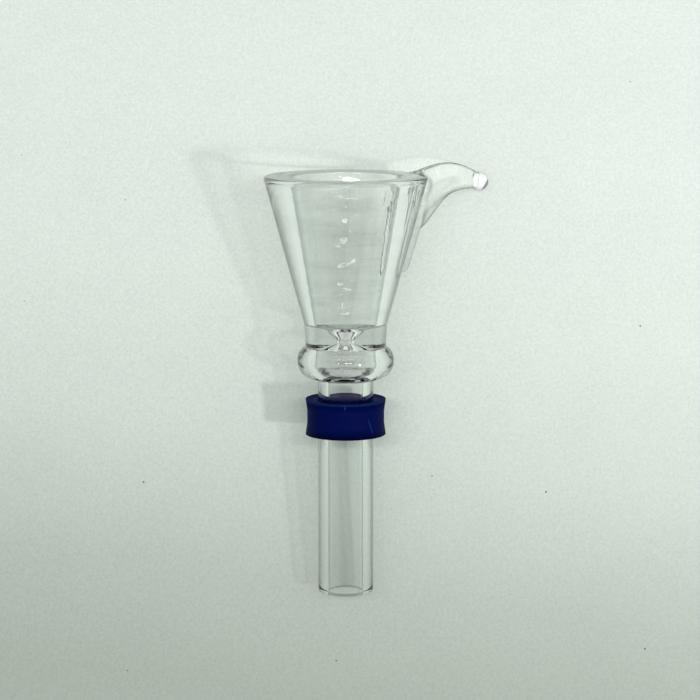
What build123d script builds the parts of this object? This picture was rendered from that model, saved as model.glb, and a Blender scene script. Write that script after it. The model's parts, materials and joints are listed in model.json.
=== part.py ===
from build123d import *

import os
from math import atan2, cos, radians, sin

# A small flame-worked glass funnel that pulls out of a rubber grommet.
#
# The glass is borosilicate: a thick-walled cone, a pinched floor with one drain hole, a hollow grip
# ring, a straight stem and a hooked handle, all fused together.  The grommet is a separate rubber
# ring that seats in a round hole and lets the stem slide and come out.
#
# +Z runs up the funnel's axis to its mouth, +X points at the handle, and the origin is the centre of
# the grommet.  Sizes are in millimetres.

# ---- grommet -------------------------------------------------------------------------------------
grommet_height = 5.4
grommet_lip_radius = 6.52
grommet_waist_radius = 6.24
grommet_edge_round = 0.22
grommet_bore_chamfer = 0.5
slide_clearance = 0.05  # radial gap between the stem and the grommet's bore

# ---- stem ----------------------------------------------------------------------------------------
stem_radius = 4.5
stem_wall = 1.65
stem_below_grommet = 26.6
stem_above_grommet = 3.7
stem_outer_polish = 0.5  # fire-polished roundings of the open end
stem_inner_polish = 0.4

# ---- grip ring, a hollow bulge that stops the stem at the grommet -----------------------------------
ring_height = 5.25
ring_radius = 7.83
ring_belly_height = 2.6  # of the widest point, above the ring's foot
ring_wall = 2.83  # glass between the belly and the hollow chamber inside it
chamber_roof_radius = 3.6  # of the chamber where the bowl's floor closes it

# ---- floor of the bowl, pinched in to a drain hole ---------------------------------------------------
floor_height = 3.45
collar_radius = 6.35
drain_radius = 1.0
drain_height = 1.2  # of the drain's throat, above the floor's underside
drain_roof_radius = 2.2  # where the throat opens into the chamber
dish_radius = 2.4  # where the dished floor turns down into the throat
dish_depth = 1.0  # from the foot of the bowl down to that turn

# ---- bowl ----------------------------------------------------------------------------------------
cone_height = 24.1
cone_foot_radius = 6.63
cone_foot_wall = 1.6
rim_radius = 13.62  # at the sharp corner, before rim_round takes its edge off
rim_wall = 4.6
rim_round = 1.1

# ---- handle: a strap fused down the bowl's flank, a horn and a ball ------------------------------------
strap_length = 16.6  # along the flank, from the rim down
strap_foot_radius = 1.35
strap_head_radius = 1.85
strap_sink = 0.75  # how deep the strap's axis would lie outside the flank
ball_radius = 1.55
ball_reach = 11.28  # beyond the rim's sharp corner
ball_drop = 1.85  # below the rim
# each section across the horn: reach beyond the rim, drop below it, height, width, lean in degrees
horn_sections = [
    (-1.62, 5.0, 10.0, 2.5, 14),
    (0.28, 3.5, 9.2, 3.2, 12),
    (2.28, 2.25, 7.85, 3.5, 11),
    (4.33, 1.3, 6.9, 3.4, 6),
    (6.33, 0.8, 5.6, 3.1, 1),
    (8.43, 0.95, 4.2, 2.7, -10),
    (10.58, 1.5, 2.7, 2.4, -20),
]

# ---- levels and radii that follow ----------------------------------------------------------------
grommet_top = grommet_height / 2
grommet_foot = -grommet_height / 2
grommet_bore_radius = stem_radius + slide_clearance
stem_foot = grommet_foot - stem_below_grommet
stem_bore_radius = stem_radius - stem_wall
ring_foot = grommet_top + stem_above_grommet
ring_belly = ring_foot + ring_belly_height
ring_top = ring_foot + ring_height
cone_foot = ring_top + floor_height
rim_level = cone_foot + cone_height
bowl_foot_radius = cone_foot_radius - cone_foot_wall
bowl_mouth_radius = rim_radius - rim_wall
flank_angle = atan2(rim_radius - cone_foot_radius, cone_height)


def bowl_envelope():
    """The bowl's outside as a solid, run a little past both ends, to trim what is fused on to it."""
    spare = 3.0
    slope = (rim_radius - cone_foot_radius) / cone_height
    return Pos(0, 0, (cone_foot + rim_level) / 2) * Cone(
        cone_foot_radius - spare * slope,
        rim_radius + spare * slope,
        cone_height + 2 * spare,
        mode=Mode.PRIVATE,
    )


# ---- stem tube -----------------------------------------------------------------------------------
with BuildPart() as stem_tube:
    with BuildSketch(Plane.XZ) as stem_half:
        with Locations((stem_bore_radius, stem_foot)):
            Rectangle(stem_wall, ring_foot - stem_foot, align=(Align.MIN, Align.MIN))
        fillet(stem_half.vertices().group_by(Axis.Y)[0].sort_by(Axis.X)[-1], stem_outer_polish)
        fillet(stem_half.vertices().group_by(Axis.X)[0].sort_by(Axis.Y)[0], stem_inner_polish)
    revolve(axis=Axis.Z)
stem_tube.part.label = "stem_tube"

# ---- grip ring -----------------------------------------------------------------------------------
with BuildPart() as grip_ring:
    with BuildSketch(Plane.XZ):
        with BuildLine():
            underside = EllipticalCenterArc(
                center=(stem_radius, ring_belly),
                x_radius=ring_radius - stem_radius,
                y_radius=ring_belly - ring_foot,
                start_angle=-90,
                arc_size=90,
            )
            shoulder = TangentArc(underside @ 1, (collar_radius, ring_top), tangent=(0, 1))
            roof_line = Line(shoulder @ 1, (chamber_roof_radius, ring_top))
            chamber = ThreePointArc(
                roof_line @ 1,
                (ring_radius - ring_wall, ring_belly),
                (stem_bore_radius, ring_foot),
            )
            Line(chamber @ 1, underside @ 0)
        make_face()
    revolve(axis=Axis.Z)
grip_ring.part.label = "grip_ring"

# ---- bowl floor ----------------------------------------------------------------------------------
with BuildPart() as bowl_floor:
    with BuildSketch(Plane.XZ):
        with BuildLine():
            throat = ThreePointArc(
                (drain_roof_radius, ring_top),
                (drain_radius, ring_top + drain_height),
                (dish_radius, cone_foot - dish_depth),
            )
            Polyline(
                throat @ 1,
                (bowl_foot_radius, cone_foot),
                (cone_foot_radius, cone_foot),
                (collar_radius, ring_top),
                throat @ 0,
            )
        make_face()
    revolve(axis=Axis.Z)
bowl_floor.part.label = "bowl_floor"

# ---- bowl cone -----------------------------------------------------------------------------------
with BuildPart() as bowl_cone:
    with BuildSketch(Plane.XZ) as cone_half:
        with BuildLine():
            Polyline(
                (bowl_foot_radius, cone_foot),
                (cone_foot_radius, cone_foot),
                (rim_radius, rim_level),
                (bowl_mouth_radius, rim_level),
                close=True,
            )
        make_face()
        fillet(cone_half.vertices().group_by(Axis.Y)[-1], rim_round)
    revolve(axis=Axis.Z)
bowl_cone.part.label = "bowl_cone"

# ---- handle strap, a tapered rod laid down the flank -----------------------------------------------
flank_out = Vector(cos(flank_angle), 0, -sin(flank_angle))
flank_up = Vector(sin(flank_angle), 0, cos(flank_angle))
strap_run = strap_length - strap_head_radius - strap_foot_radius
strap_head = Vector(rim_radius, 0, rim_level) + flank_out * strap_sink - flank_up * strap_head_radius
strap_foot = strap_head - flank_up * strap_run
with BuildPart() as handle_strap:
    with BuildSketch(Plane(origin=strap_foot, x_dir=flank_out, z_dir=(0, -1, 0))):
        with BuildLine():
            tail = TangentArc((strap_foot_radius, 0), (0, -strap_foot_radius), tangent=(0, -1))
            side = Line((strap_foot_radius, 0), (strap_head_radius, strap_run))
            crown = TangentArc(side @ 1, (0, strap_run + strap_head_radius), tangent=(0, 1))
            Line(crown @ 1, tail @ 1)
        make_face()
    revolve(axis=Axis(strap_foot, flank_up))
    add(bowl_envelope(), mode=Mode.SUBTRACT)
handle_strap.part.label = "handle_strap"

# ---- handle tip, the bead at the end of the horn -----------------------------------------------------
ball_centre = (rim_radius + ball_reach, 0, rim_level - ball_drop)
with BuildPart() as handle_tip:
    with Locations(ball_centre):
        Sphere(ball_radius)
handle_tip.part.label = "handle_tip"

# ---- handle horn -----------------------------------------------------------------------------------
with BuildPart() as handle_horn:
    for reach, drop, height, width, lean in horn_sections:
        across = Vector(cos(radians(lean)), 0, sin(radians(lean)))
        middle = (rim_radius + reach, 0, rim_level - drop)
        with BuildSketch(Plane(origin=middle, x_dir=(0, 1, 0), z_dir=across)):
            Ellipse(width / 2, height / 2)
    loft()
    add(bowl_envelope(), mode=Mode.SUBTRACT)
    add(handle_strap.part, mode=Mode.SUBTRACT)
    add(handle_tip.part, mode=Mode.SUBTRACT)
handle_horn.part.label = "handle_horn"

# ---- grommet -------------------------------------------------------------------------------------
with BuildPart() as grommet:
    with BuildSketch(Plane.XZ) as grommet_half:
        with BuildLine():
            bore_foot = (grommet_bore_radius, grommet_foot)
            lip_foot = (grommet_lip_radius, grommet_foot)
            waist = (grommet_waist_radius, 0)
            lip_top = (grommet_lip_radius, grommet_top)
            bore_top = (grommet_bore_radius, grommet_top)
            Line(bore_foot, lip_foot)
            ThreePointArc(lip_foot, waist, lip_top)
            Line(lip_top, bore_top)
            Line(bore_top, bore_foot)
        make_face()
        fillet(grommet_half.vertices().group_by(Axis.X)[-1], grommet_edge_round)
        chamfer(grommet_half.vertices().group_by(Axis.X)[0], grommet_bore_chamfer)
    revolve(axis=Axis.Z)
grommet.part.label = "grommet"

# ---- files ---------------------------------------------------------------------------------------
os.makedirs("parts", exist_ok=True)
pieces = [
    stem_tube,
    grip_ring,
    bowl_floor,
    bowl_cone,
    handle_strap,
    handle_horn,
    handle_tip,
    grommet,
]
for piece in pieces:
    export_step(piece.part, f"parts/{piece.part.label}.step")
    print(piece.part.label, round(piece.part.volume, 1), "mm3")
print("length", round(rim_level - stem_foot, 2), "mm")
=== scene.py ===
import json
from math import cos, pi, radians, sin, tau

import bpy
import numpy as np
import openvdb
from mathutils import Matrix, Vector


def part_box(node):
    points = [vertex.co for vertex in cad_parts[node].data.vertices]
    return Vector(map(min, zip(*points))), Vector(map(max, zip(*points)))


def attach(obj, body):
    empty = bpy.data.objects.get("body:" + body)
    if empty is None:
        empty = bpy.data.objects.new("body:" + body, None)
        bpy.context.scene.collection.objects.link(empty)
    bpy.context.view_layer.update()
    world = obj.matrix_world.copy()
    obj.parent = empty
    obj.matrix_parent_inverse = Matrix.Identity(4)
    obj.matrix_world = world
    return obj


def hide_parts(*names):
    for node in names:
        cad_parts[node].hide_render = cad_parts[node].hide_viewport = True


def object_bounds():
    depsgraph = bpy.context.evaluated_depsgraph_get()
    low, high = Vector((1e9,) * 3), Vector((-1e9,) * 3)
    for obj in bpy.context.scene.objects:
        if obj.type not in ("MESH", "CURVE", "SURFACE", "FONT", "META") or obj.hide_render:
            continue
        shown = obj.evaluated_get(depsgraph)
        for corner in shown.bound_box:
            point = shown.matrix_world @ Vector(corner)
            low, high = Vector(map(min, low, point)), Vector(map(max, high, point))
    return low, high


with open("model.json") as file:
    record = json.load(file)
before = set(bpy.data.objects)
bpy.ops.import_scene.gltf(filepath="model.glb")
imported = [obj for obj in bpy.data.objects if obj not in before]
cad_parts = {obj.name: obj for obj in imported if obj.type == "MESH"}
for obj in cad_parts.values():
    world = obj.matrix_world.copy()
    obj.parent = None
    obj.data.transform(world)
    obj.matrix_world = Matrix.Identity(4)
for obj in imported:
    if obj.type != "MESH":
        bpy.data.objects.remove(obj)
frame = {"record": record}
cad_low, cad_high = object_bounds()
cad_box = [list(cad_low), list(cad_high)]

# ---- how it lies, and the camera ---------------------------------------------------------------------
# The funnel lies on a sheet of paper, on its rim, the end of its stem and the tip of its handle, with
# its mouth up the sheet.  The camera looks straight down on the sheet from arm's length.
stem_low, stem_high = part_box("stem_tube")
rim_low, rim_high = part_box("bowl_cone")
lean = np.arcsin((rim_high.x - stem_high.x) / (rim_high.z - stem_low.z))
roll = radians(62.2)  # about the funnel's axis, which brings the handle down to the paper
into_paper = Vector((cos(lean) * cos(roll), cos(lean) * sin(roll), -sin(lean)))
paper_right = Vector((sin(roll), -cos(roll), 0))
paper_down = into_paper.cross(paper_right)
stem_foot = Vector((0, 0, stem_low.z))
stem_centre_height = stem_high.x * cos(lean)
foot_right, foot_down = -0.0007, 0.0509  # where the stem's end lies, from the point under the camera


def over_paper(right, down, height):
    """A point by its place on the paper from under the camera, and its height over the paper, in metres."""
    from_stem = paper_right * (right - foot_right) + paper_down * (down - foot_down)
    return stem_foot + from_stem - into_paper * (height - stem_centre_height)


camera_height = 0.435
view_middle = 0.0113  # down the sheet from the point under the camera
camera = bpy.data.objects.new("camera", bpy.data.cameras.new("camera"))
bpy.context.scene.collection.objects.link(camera)
bpy.context.scene.camera = camera
camera.data.lens = 134.7
camera.data.clip_start = 0.01
camera.location = over_paper(0, 0, camera_height)
aim = (over_paper(0, view_middle, 0) - camera.location).normalized()
camera_right = (paper_right - aim * paper_right.dot(aim)).normalized()
camera.rotation_mode = "QUATERNION"
camera.rotation_quaternion = Matrix(
    (camera_right, camera_right.cross(aim), -aim)
).transposed().to_quaternion()

# ---- the glass ---------------------------------------------------------------------------------------
# One fused piece of clear borosilicate, blown and drawn in a flame: thick cone, pinched floor, hollow
# grip ring and stem on one axis, and a handle laid on hot, which runs into the flank.  It is made as a
# field of distances to its skin, in millimetres, so that each join flows as melted glass does.
MM = 1000
ring_low, ring_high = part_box("grip_ring")
cone_foot = rim_low.z * MM
collar_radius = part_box("bowl_floor")[1].x * MM
rim_level, rim_radius = rim_high.z * MM, rim_high.x * MM
stem_end, stem_radius = stem_low.z * MM, stem_high.x * MM
ring_foot, ring_top, ring_radius = ring_low.z * MM, ring_high.z * MM, ring_high.x * MM
bore_radius = next(m["dims"]["r_mm"] for m in frame["record"]["mounts"] if m["name"] == "stem_bore")
rim_corner = rim_radius + 0.1  # before the rim's outer edge is rounded
mouth_radius = rim_radius - 4.3
drain_radius = 1.0
chamber_radius = 5.05

# each corner of the section: radius, height, rounding; up the outside and back down the inside
glass_section = [
    (stem_radius, stem_end, 0.5),
    (stem_radius, ring_foot - 0.05, 0.4),
    (ring_radius, ring_foot - 0.05, 2.6),
    (ring_radius, ring_foot + 4.2, 2.2),
    (collar_radius - 0.1, ring_top - 0.1, 0.3),
    (collar_radius + 0.1, cone_foot + 0.1, 0.35),
    (rim_corner, rim_level, 0.45),
    (mouth_radius, rim_level, 0.8),
    (5.0, cone_foot + 0.15, 0.4),
    (2.2, cone_foot - 0.6, 0.25),
    (drain_radius, cone_foot - 2.1, 0.25),
    (drain_radius, cone_foot - 2.7, 0.25),
    (2.6, ring_top - 0.1, 0.8),
    (4.2, ring_top - 0.7, 1.2),
    (chamber_radius, ring_foot + 3.4, 1.2),
    (chamber_radius, ring_foot + 1.2, 1.3),
    (3.5, ring_foot + 1.0, 0.25),
    (bore_radius, ring_foot + 0.3, 0.2),
    (bore_radius, stem_end, 0.35),
]


def rounded(corners, turn=radians(4)):
    """A closed outline through corners of (x, y, rounding), with an arc at each."""
    outline = []
    for before, here, after in zip(corners[-1:] + corners[:-1], corners, corners[1:] + corners[:1]):
        corner, rounding = np.array(here[:2]), here[2]
        back, on = np.array(before[:2]) - corner, np.array(after[:2]) - corner
        back, on = back / np.linalg.norm(back), on / np.linalg.norm(on)
        half = np.arccos(np.clip(back @ on, -1, 1)) / 2
        middle = (back + on) / np.linalg.norm(back + on)
        centre = corner + middle * rounding / sin(half)
        starts = corner + back * rounding / np.tan(half) - centre
        sweep = (pi - 2 * half) * np.sign(back[0] * on[1] - back[1] * on[0]) * -1
        for angle in np.linspace(0, sweep, max(2, int(abs(sweep) / turn) + 1)):
            spin = np.array([[cos(angle), -sin(angle)], [sin(angle), cos(angle)]])
            outline.append(centre + spin @ starts)
    return np.array(outline)


def outline_distance(x, y, outline):
    """How far points lie outside a closed outline, less than zero inside it."""
    nearest = np.full(x.shape, 1e9)
    inside = np.zeros(x.shape, bool)
    for (ax, ay), (bx, by) in zip(outline, np.roll(outline, -1, axis=0)):
        ex, ey = bx - ax, by - ay
        px, py = x - ax, y - ay
        along = np.clip((px * ex + py * ey) / (ex * ex + ey * ey), 0, 1)
        nearest = np.minimum(nearest, (px - ex * along) ** 2 + (py - ey * along) ** 2)
        if ay != by:
            inside ^= ((ay > y) != (by > y)) & (px < ex * py / ey)
    return np.where(inside, -1, 1) * np.sqrt(nearest)


def melt(a, b, flow):
    """Two fields run together, with a fillet about as wide as flow."""
    share = np.clip(0.5 + 0.5 * (b - a) / flow, 0, 1)
    return b * (1 - share) + a * share - flow * share * (1 - share)


def rod_distance(points, sections, flat=2.0):
    """The field of a rod in the handle's plane, by sections of (x, z, half height, half width).

    A section is an ellipse where flat is 2, and has flatter faces and rounder edges above that.
    """
    x, y, z = points.T
    count = 10 * len(sections)
    places = np.linspace(0, len(sections) - 1, count)
    spine = [np.interp(places, range(len(sections)), column) for column in zip(*sections)]
    for _ in range(30):  # so that the corners between sections don't show
        spine = [np.concatenate([c[:1], (c[:-2] + 2 * c[1:-1] + c[2:]) / 4, c[-1:]]) for c in spine]
    nearest = np.full(x.shape, 1e9)
    tall, wide = np.zeros((2, *x.shape))
    for (ax, az, at, aw), (bx, bz, bt, bw) in zip(zip(*spine), list(zip(*spine))[1:]):
        ex, ez = bx - ax, bz - az
        length = np.hypot(ex, ez)
        share = np.clip(((x - ax) * ex + (z - az) * ez) / length**2, 0, 1)
        away = np.hypot(x - ax - ex * share, z - az - ez * share)
        closer = away < nearest
        nearest = np.where(closer, away, nearest)
        tall = np.where(closer, at + (bt - at) * share, tall)
        wide = np.where(closer, aw + (bw - aw) * share, wide)
    up, out = nearest / tall, np.abs(y) / wide
    bend = (up**flat + out**flat) ** (1 / flat) + 1e-6
    steep = bend ** (1 - flat) * np.hypot(up ** (flat - 1) / tall, out ** (flat - 1) / wide) + 1e-6
    return (bend - 1) / steep


bowl_slope = (rim_corner - collar_radius) / (rim_level - cone_foot)
flank = np.arctan(bowl_slope)
# the horn is a thin web with a rod along its lower edge: reach past the rim, drop, height, width
horn_web = [
    (-1.3, 5.0, 8.8, 2.3),
    (0.6, 3.5, 7.8, 2.5),
    (2.6, 2.2, 6.7, 2.3),
    (4.65, 1.25, 5.6, 2.1),
    (6.65, 0.9, 4.8, 2.0),
    (8.75, 1.08, 3.7, 2.0),
    (10.2, 1.45, 2.9, 2.1),
    (11.1, 1.75, 2.2, 2.2),
]
horn_rod = [
    (-0.4, 6.35, 2.6, 2.9),
    (1.77, 4.5, 2.6, 3.0),
    (4.02, 2.86, 2.6, 2.9),
    (6.3, 2.0, 2.55, 2.8),
    (8.63, 1.74, 2.4, 2.5),
    (10.2, 1.75, 2.3, 2.4),
    (11.1, 1.8, 2.2, 2.2),
]
horn_web, horn_rod = (
    [(rim_radius + reach, rim_level - drop, height / 2, width / 2) for reach, drop, height, width in part]
    for part in (horn_web, horn_rod)
)
# the strap is a tapered rod sunk in the flank
strap_top = rim_radius + 0.33
strap_stand = 0.75
strap_sections = [
    (
        strap_top - down * sin(flank) + strap_stand * cos(flank),
        rim_level - down * cos(flank) - strap_stand * sin(flank),
        radius,
        radius,
    )
    for down, radius in [(1.85, 1.8), (6.0, 1.75), (11.0, 1.6), (15.2, 1.35)]
]
tip_low, tip_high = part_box("handle_tip")
tip_centre = np.array((tip_low + tip_high) / 2) * MM
tip_radius = (tip_high.y - tip_low.y) / 2 * MM


def glass_distance(points, body=None):
    """The whole skin's field, with the small waves of hand-worked glass.

    The turned body's own field is worked out here where it isn't given.
    """
    x, y, z = points.T
    if body is None:
        body = outline_distance(np.hypot(x, y), z, section)
    field = body.copy()
    near = (x > 8) & (np.abs(y) < 4) & (z > 20)  # the only points that the handle reaches
    p = points[near]
    handle = melt(rod_distance(p, horn_web, flat=3.0), rod_distance(p, horn_rod), 0.5)
    handle = melt(handle, np.linalg.norm(p - tip_centre, axis=1) - tip_radius, 0.35)
    lumps = 0.015 * np.sin(p[:, 2] * 4.1 + p[:, 1]) + 0.025 * np.sin(p[:, 2] * 6.7 + p[:, 1] * 2)
    strap = rod_distance(p, strap_sections) + lumps * np.clip((rim_level - 9 - p[:, 2]) / 3, 0, 1)
    handle = melt(handle, strap, 0.6)
    field[near] = melt(body[near], handle, 0.9)
    # the waves run round the inside of the cone, and fade where it stands edge on to the camera
    across = np.abs(x * paper_right.x + y * paper_right.y) / np.hypot(x, y).clip(1)
    drift = 0.9 * np.sin(0.8 * x + 1) + 0.6 * np.sin(1.1 * y)
    ripple = 0.022 * np.sin(z * 1.62 + drift) * np.sin(z * 0.55 + 0.4) ** 2
    ripple += 0.012 * np.sin(z * 3.3 - 1.3 * drift + 0.5 * x) * np.sin(z * 0.41 - 0.9) ** 2
    ripple += 0.008 * np.sin(z * 0.83 + 2) + 0.004 * np.sin(z * 6.1 + 2.1 * drift)
    ripple *= 1 - 0.75 * across**2
    above = np.clip((z - cone_foot) / 2, 0, 1)
    inside = np.clip((bowl_slope * (z - cone_foot) + collar_radius - np.hypot(x, y) - 0.8) / 0.4, 0, 1)
    return field + ripple * above * inside


section = rounded(glass_section)
cell = 0.28
low = np.array(cad_box[0]) * MM - 2 * cell
high = np.array(cad_box[1]) * MM + 2 * cell
axes = [np.arange(a, b, cell) for a, b in zip(low, high)]
shape = tuple(len(a) for a in axes)
# the turned body depends on radius and height alone, so it is read from a table
radii = np.arange(0, 34, cell / 2)  # past the box's farthest corner
table = outline_distance(*np.meshgrid(radii, axes[2], indexing="ij"), section)
grid = np.stack(np.meshgrid(*axes, indexing="ij"), axis=-1).reshape(-1, 3)
row = np.hypot(grid[:, 0], grid[:, 1]) / (cell / 2)
step, level = row.astype(int), np.tile(np.arange(shape[2]), shape[0] * shape[1])
share = row - step
turned = table[step, level] * (1 - share) + table[step + 1, level] * share
volume = openvdb.FloatGrid(3 * cell)
volume.copyFromArray(glass_distance(grid, turned).reshape(shape).astype(np.float32))
points, quads = volume.convertToQuads(isovalue=0.0)[:2]
points = points.astype(float) * cell + low
# each point is drawn on to the true skin, whose slope is also the normal there
probe = 0.04
for _ in range(3):
    here = glass_distance(points)
    slope = np.stack(
        [
            glass_distance(points + offset) - glass_distance(points - offset)
            for offset in np.eye(3) * probe
        ],
        axis=1,
    ) / (2 * probe)
    steep = np.linalg.norm(slope, axis=1, keepdims=True)
    points -= slope / steep**2 * here[:, None]
glass_mesh = bpy.data.meshes.new("funnel_glass")
glass_mesh.from_pydata((points / MM).tolist(), [], quads.tolist())
glass_mesh.shade_smooth()
glass_mesh.normals_split_custom_set_from_vertices((slope / steep).tolist())
glass = bpy.data.objects.new("funnel_glass", glass_mesh)
bpy.context.scene.collection.objects.link(glass)


class Shade:
    """A shader socket, so that shader maths is written as an expression."""

    def __init__(self, tree, socket=None):
        self.tree, self.socket = tree, socket

    def node(self, kind, inputs=(), output=0, stops=(), **settings):
        """Any node; a ramp starts with two stops, so the first two given are its ends."""
        made = self.tree.nodes.new(kind)
        for name, value in settings.items():
            setattr(made, name, value)
        for order, (position, colour) in enumerate(stops):
            ramp = made.color_ramp.elements
            stop = ramp[order] if order < 2 else ramp.new(position)
            stop.position, stop.color = position, colour
        for name, value in dict(inputs).items():
            if isinstance(value, Shade):
                self.tree.links.new(value.socket, made.inputs[name])
            else:
                made.inputs[name].default_value = value
        return Shade(self.tree, made.outputs[output] if made.outputs else None)

    def maths(self, operation, a, b):
        """A Math node, or a Vector Math node where one side is a tuple."""
        if any(isinstance(v, tuple) for v in (a, b)):
            return self.node("ShaderNodeVectorMath", {0: a, 1: b}, operation=operation)
        return self.node("ShaderNodeMath", {0: a, 1: b}, operation=operation)

    def __add__(self, other):
        return self.maths("ADD", self, other)

    def __sub__(self, other):
        return self.maths("SUBTRACT", self, other)

    def __rsub__(self, other):
        return self.maths("SUBTRACT", other, self)

    def __mul__(self, other):
        return self.maths("MULTIPLY", self, other)

    def __abs__(self):
        return self.maths("ABSOLUTE", self, 0.0)

    def __gt__(self, other):
        return self.maths("GREATER_THAN", self, other)

    __radd__, __rmul__ = __add__, __mul__


def new_material(name):
    """A material with an empty node tree, and a Shade to build it with."""
    made = bpy.data.materials.new(name)
    made.use_nodes = True
    made.node_tree.nodes.clear()
    return made, Shade(made.node_tree)


def reach_along(place, way):
    """How far a place lies along a direction, as a number for shader maths."""
    return place.node(
        "ShaderNodeVectorMath", {0: place, 1: way}, output="Value", operation="DOT_PRODUCT"
    )


clear_glass, shade = new_material("clear_glass")
place = shade.node("ShaderNodeTexCoord", output="Object")
haze = shade.node("ShaderNodeTexNoise", {"Vector": place, "Scale": 260.0, "Detail": 6.0})
smudge = shade.node(
    "ShaderNodeValToRGB", {"Fac": haze}, stops=[(0.45, (0, 0, 0, 1)), (0.8, (1, 1, 1, 1))]
)
facing = shade.node("ShaderNodeLayerWeight", {"Blend": 0.5}, output="Facing")
reach = shade.node("ShaderNodeSeparateXYZ", {0: place}, output="X")
on_handle = reach > rim_corner / MM
height = shade.node("ShaderNodeSeparateXYZ", {0: place}, output="Z")
radius = shade.node("ShaderNodeVectorMath", {0: place * (1, 1, 0)}, output="Value", operation="LENGTH")
# painted shade: fine dark lines are painted along the polished inner edges of the mouth and of the stem's
# end
fine_line = 0.14 / MM
painted_rim_line = (height > (rim_level - 0.5) / MM) * (
    1 - (abs(radius - (mouth_radius + 0.25) / MM) > fine_line)
)
painted_end_line = (1 - (height > (stem_end + 0.6) / MM)) * (
    1 - (abs(radius - (bore_radius + 0.14) / MM) > fine_line)
)
# painted shade: the glass's colour darkens towards black where its skin is seen edge on, and sooner on the
# handle, to draw dark outlines
edge = shade.node(
    "ShaderNodeValToRGB",
    {"Fac": facing + on_handle * 0.28},
    stops=[
        (0.5, (0.985, 1.0, 0.99, 1)),
        (1.0, (0.02, 0.03, 0.025, 1)),
        (0.7, (0.4, 0.43, 0.41, 1)),
    ],
)
# painted shadow: faint horizontal grey bands in the bowl, painted into the glass's colour
painted_shadow_streaks = shade.node(
    "ShaderNodeTexNoise", {"Vector": place * (60.0, 60.0, 700.0), "Scale": 1.0, "Detail": 4.0}
)
in_bowl = height > (cone_foot + 0.5) / MM
# painted light: the clear bead is painted white, as if lit by light gathered through it, but for a painted
# dark crescent of shade on one side
tip_place = Vector(tip_centre) / MM
from_tip = shade.node(
    "ShaderNodeVectorMath", {0: place, 1: tip_place}, output="Value", operation="DISTANCE"
)
in_bead = 1 - (from_tip > (tip_radius + 0.06) / MM)
clear_side = (paper_right * 0.85 + paper_down * 0.5).normalized()
painted_crescent_side = reach_along(place, clear_side) > clear_side.dot(tip_place) + 1.05 / MM
tint = shade.node(
    "ShaderNodeVectorMath",
    {
        0: edge,
        "Scale": (1 - in_bowl * (painted_shadow_streaks > 0.55) * 0.05)
        * (1 - (painted_rim_line + painted_end_line) * 0.45)
        * (1 - in_bead * painted_crescent_side * 0.6),
    },
    operation="SCALE",
)
clear = shade.node(
    "ShaderNodeBsdfPrincipled",
    {
        "Base Color": tint,
        "Roughness": smudge * 0.02 + 0.004,
        "IOR": 1.473,
        "Transmission Weight": 1.0,
    },
)
painted_white_light = shade.node("ShaderNodeBsdfDiffuse", {"Color": (1.0, 1.0, 1.0, 1)})
painted_light_bead = in_bead * (1 - painted_crescent_side) * (1 - facing * facing * facing)
clear = shade.node("ShaderNodeMixShader", {0: painted_light_bead, 1: clear, 2: painted_white_light})
# light reaches the paper through the glass, less of it where the skin is seen edge on; the rounded
# rim and the handle's rods gather it into bright lines
thin = shade.node("ShaderNodeBsdfTransparent", {"Color": (0.91, 0.915, 0.905, 1)})
thick = shade.node("ShaderNodeBsdfTransparent", {"Color": (0.36, 0.37, 0.36, 1)})
shadow = shade.node("ShaderNodeMixShader", {0: facing * facing * 0.75, 1: thin, 2: thick})
gathered = shade.node("ShaderNodeBsdfTransparent", {"Color": (1.22, 1.22, 1.2, 1)})
lens = shade.node("ShaderNodeMixShader", {0: facing, 1: gathered, 2: thick})
lenses = shade.node("ShaderNodeClamp", {0: on_handle + (height > (rim_level - 1.8) / MM)})
shadow = shade.node("ShaderNodeMixShader", {0: lenses, 1: shadow, 2: lens})
for_light = shade.node("ShaderNodeLightPath", output="Is Shadow Ray") + shade.node(
    "ShaderNodeLightPath", output="Is Diffuse Ray"
)
surface = shade.node("ShaderNodeMixShader", {0: for_light, 1: clear, 2: shadow})
shade.node("ShaderNodeOutputMaterial", {"Surface": surface})
glass_mesh.materials.append(clear_glass)
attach(glass, "glass")
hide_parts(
    "bowl_cone",
    "bowl_floor",
    "grip_ring",
    "stem_tube",
    "handle_strap",
    "handle_horn",
    "handle_tip",
)

# ---- the grommet -------------------------------------------------------------------------------------
# A ring of navy rubber, moulded in one piece, with a hollow waist between two soft lips that seats in
# a hole.  It grips the stem, and carries a nick and a scuff from being pushed in and out.
seat_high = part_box("grommet")[1]
lip, half_height = seat_high.x * MM, seat_high.z * MM
bore = stem_radius + 0.05  # room for the slide
rubber_section = [
    (bore, -half_height, 0.45),
    (lip + 0.02, -half_height, 0.22),
    (lip - 0.55, 0.0, 14.0),
    (lip + 0.02, half_height, 0.22),
    (bore, half_height, 0.45),
]
sides = 256
profile = rounded(rubber_section, turn=radians(6))
turns = np.linspace(0, tau, sides, endpoint=False)
ring = np.array([[(r * cos(t), r * sin(t), z) for r, z in profile] for t in turns])
count = len(profile)
faces = [
    [
        (i + 1) % sides * count + j,
        (i + 1) % sides * count + (j + 1) % count,
        i * count + (j + 1) % count,
        i * count + j,
    ]
    for i in range(sides)
    for j in range(count)
]
rubber_mesh = bpy.data.meshes.new("rubber_grommet")
rubber_mesh.from_pydata((ring.reshape(-1, 3) / MM).tolist(), [], faces)
rubber_mesh.shade_smooth()
rubber = bpy.data.objects.new("rubber_grommet", rubber_mesh)
bpy.context.scene.collection.objects.link(rubber)

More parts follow.
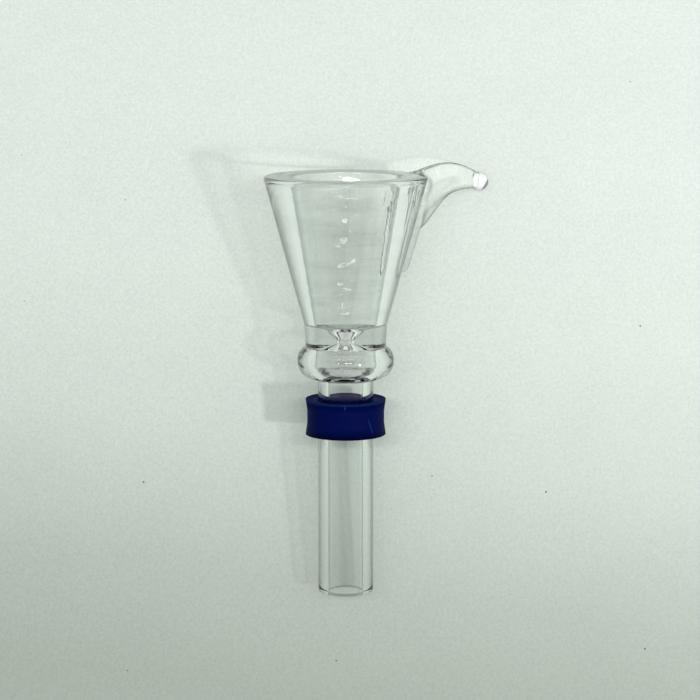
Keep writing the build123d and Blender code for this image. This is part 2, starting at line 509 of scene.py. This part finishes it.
navy_rubber, shade = new_material("navy_rubber")
place = shade.node("ShaderNodeTexCoord", output="Object")
grit = shade.node("ShaderNodeTexNoise", {"Vector": place, "Scale": 1800.0, "Detail": 4.0})
along = shade.node("ShaderNodeSeparateXYZ", {0: place}, output="Z")
out = shade.node("ShaderNodeVectorMath", {0: place * (1, 1, 0)}, output="Value", operation="LENGTH")
edges = (out > (lip - 0.3) / MM) + (1 - (out > (bore + 0.6) / MM))
# painted highlight: the edges of the top face are painted a lighter blue, as where light catches them
painted_edge_highlight = (along > (half_height - 0.1) / MM) * edges * (grit * 0.6 + 0.3)
across = reach_along(place, paper_right)
on_front = reach_along(place, -into_paper) > 3 / MM
nick = (1 - (abs(across + 0.1 / MM) > 0.09 / MM)) * (along > (half_height - 0.6) / MM)
slant = abs(across - 4.1 / MM - (along + 1.2 / MM) * -0.3) > 0.08 / MM
scuff = (1 - slant) * (along > -2.1 / MM) * (1 - (along > 0.3 / MM)) * 0.5
marks = (nick + scuff) * on_front
# the lighter blue is both wear, for the nick and the scuff, and the painted highlight along the top edges
wear_and_painted_highlight = shade.node(
    "ShaderNodeMix",
    {
        "Factor": shade.node("ShaderNodeClamp", {0: painted_edge_highlight + marks}),
        6: (0.0002, 0.003, 0.062, 1),
        7: (0.010, 0.045, 0.26, 1),
    },
    output=2,
    data_type="RGBA",
)
surface = shade.node(
    "ShaderNodeBsdfPrincipled",
    {
        "Base Color": wear_and_painted_highlight,
        "Roughness": grit * 0.2 + 0.5,
        "Specular IOR Level": 0.03,
        "Normal": shade.node("ShaderNodeBump", {"Height": grit, "Strength": 0.25, "Distance": 0.00005}),
    },
)
shade.node("ShaderNodeOutputMaterial", {"Surface": surface})
rubber_mesh.materials.append(navy_rubber)
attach(rubber, "grommet")
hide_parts("grommet")

# ---- the sheet of paper and the light ----------------------------------------------------------------
# A plain pale sheet with a green cast and a few specks of dust, seen from its front only, under a lamp
# from the lower right, a long ceiling panel and pale surroundings.
paper_mesh = bpy.data.meshes.new("paper")
sheet_middle, half_sheet = 0.01, 0.35
paper_mesh.from_pydata(
    [
        over_paper(a * half_sheet, sheet_middle + b * half_sheet, 0)
        for a, b in ((-1, 1), (1, 1), (1, -1), (-1, -1))
    ],
    [],
    [(0, 1, 2, 3)],
)
paper = bpy.data.objects.new("paper", paper_mesh)
bpy.context.scene.collection.objects.link(paper)
pale_paper, shade = new_material("pale_paper")
place = shade.node("ShaderNodeTexCoord", output="Object")
middle = over_paper(0, 0, 0)
# painted shade: the sheet is painted darker down its length, a little aslant, where less light falls: one
# ramp over fall_length, which has reached fall_there at the point under the camera
fall_length, fall_slant, fall_there = 0.095, 0.14, 0.26
fall = (paper_down - paper_right * fall_slant) / fall_length
down = reach_along(place, fall) + (fall_there - fall.dot(middle))
tone = shade.node(
    "ShaderNodeValToRGB",
    {"Fac": down},
    stops=[
        (0.0, (0.795, 0.875, 0.812, 1)),
        (1.0, (0.43, 0.488, 0.425, 1)),
        (0.3, (0.755, 0.84, 0.77, 1)),
        (0.55, (0.665, 0.745, 0.68, 1)),
        (0.8, (0.51, 0.57, 0.505, 1)),
    ],
)
grain = shade.node("ShaderNodeTexNoise", {"Vector": place, "Scale": 2400.0, "Detail": 3.0})
mottle = shade.node("ShaderNodeTexNoise", {"Vector": place, "Scale": 90.0, "Detail": 3.0})
flat = shade.node(
    "ShaderNodeCombineXYZ",
    {axis: reach_along(place, way) for axis, way in (("X", paper_right), ("Y", paper_down))},
)
# dust: a dot in some of the cells of a scatter, each of its own size
scatter = {"Vector": flat, "Scale": 60.0}
dust = shade.node("ShaderNodeTexVoronoi", scatter, output="Distance", voronoi_dimensions="2D")
lot = shade.node("ShaderNodeTexVoronoi", scatter, output="Color", voronoi_dimensions="2D")
chance = shade.node("ShaderNodeSeparateColor", {0: lot})
speck_size = 0.022
specks = (chance > 0.6) * ((chance - 0.5) * speck_size > dust)
# painted shade: the sheet is also painted lighter towards its right and darker towards its left
across = reach_along(place, paper_right) - paper_right.dot(middle)
toned = shade.node(
    "ShaderNodeVectorMath",
    {0: tone, "Scale": (grain * 0.3 + mottle * 0.05 + 0.785 + across * 0.45) * (1 - specks * 0.6)},
    operation="SCALE",
)
front = shade.node("ShaderNodeBsdfDiffuse", {"Color": toned})
back = shade.node("ShaderNodeBsdfTransparent")
behind = shade.node("ShaderNodeNewGeometry", output="Backfacing")
both = shade.node("ShaderNodeMixShader", {0: behind, 1: front, 2: back})
shade.node("ShaderNodeOutputMaterial", {"Surface": both})
paper_mesh.materials.append(pale_paper)

# the surroundings light the glass, and the camera sees a plain backdrop past the sheet
world = bpy.data.worlds.new("surroundings")
bpy.context.scene.world = world
world.use_nodes = True
world.node_tree.nodes.clear()
shade = Shade(world.node_tree)
direction = shade.node("ShaderNodeTexCoord", output="Generated")
up = reach_along(direction, -into_paper)
sky = shade.node(
    "ShaderNodeValToRGB",
    {"Fac": up},
    stops=[
        (0.04, (0.03, 0.03, 0.03, 1)),
        (1.0, (0.5, 0.5, 0.5, 1)),
        (0.18, (0.3, 0.3, 0.3, 1)),
        (0.35, (1.0, 1.0, 1.0, 1)),
        (0.6, (0.8, 0.8, 0.8, 1)),
    ],
)
surroundings = shade.node("ShaderNodeBackground", {"Color": sky, "Strength": 0.70})
plain = shade.node("ShaderNodeBackground", {"Color": (0.70, 0.745, 0.715, 1)})
seen = shade.node("ShaderNodeLightPath", output="Is Camera Ray")
backdrop = shade.node("ShaderNodeMixShader", {0: seen, 1: surroundings, 2: plain})
shade.node("ShaderNodeOutputWorld", {"Surface": backdrop})


def area_light(name, place, size, watts):
    """A soft oval light over the paper, turned to the point under the camera."""
    data = bpy.data.lights.new(name, "AREA")
    data.shape, data.size, data.size_y, data.energy = "ELLIPSE", size[0], size[1], watts
    made = bpy.data.objects.new(name, data)
    bpy.context.scene.collection.objects.link(made)
    made.location = over_paper(*place)
    toward = over_paper(0, 0, 0) - made.location
    made.rotation_mode = "QUATERNION"
    made.rotation_quaternion = toward.to_track_quat("-Z", "Y")


area_light("lamp", (0.52, 0.17, 0.74), (0.06, 0.06), 2.0)
area_light("ceiling_panel", (0.0, -0.1, 0.9), (1.1, 0.035), 3.3)

bpy.context.scene.view_settings.view_transform = "Standard"
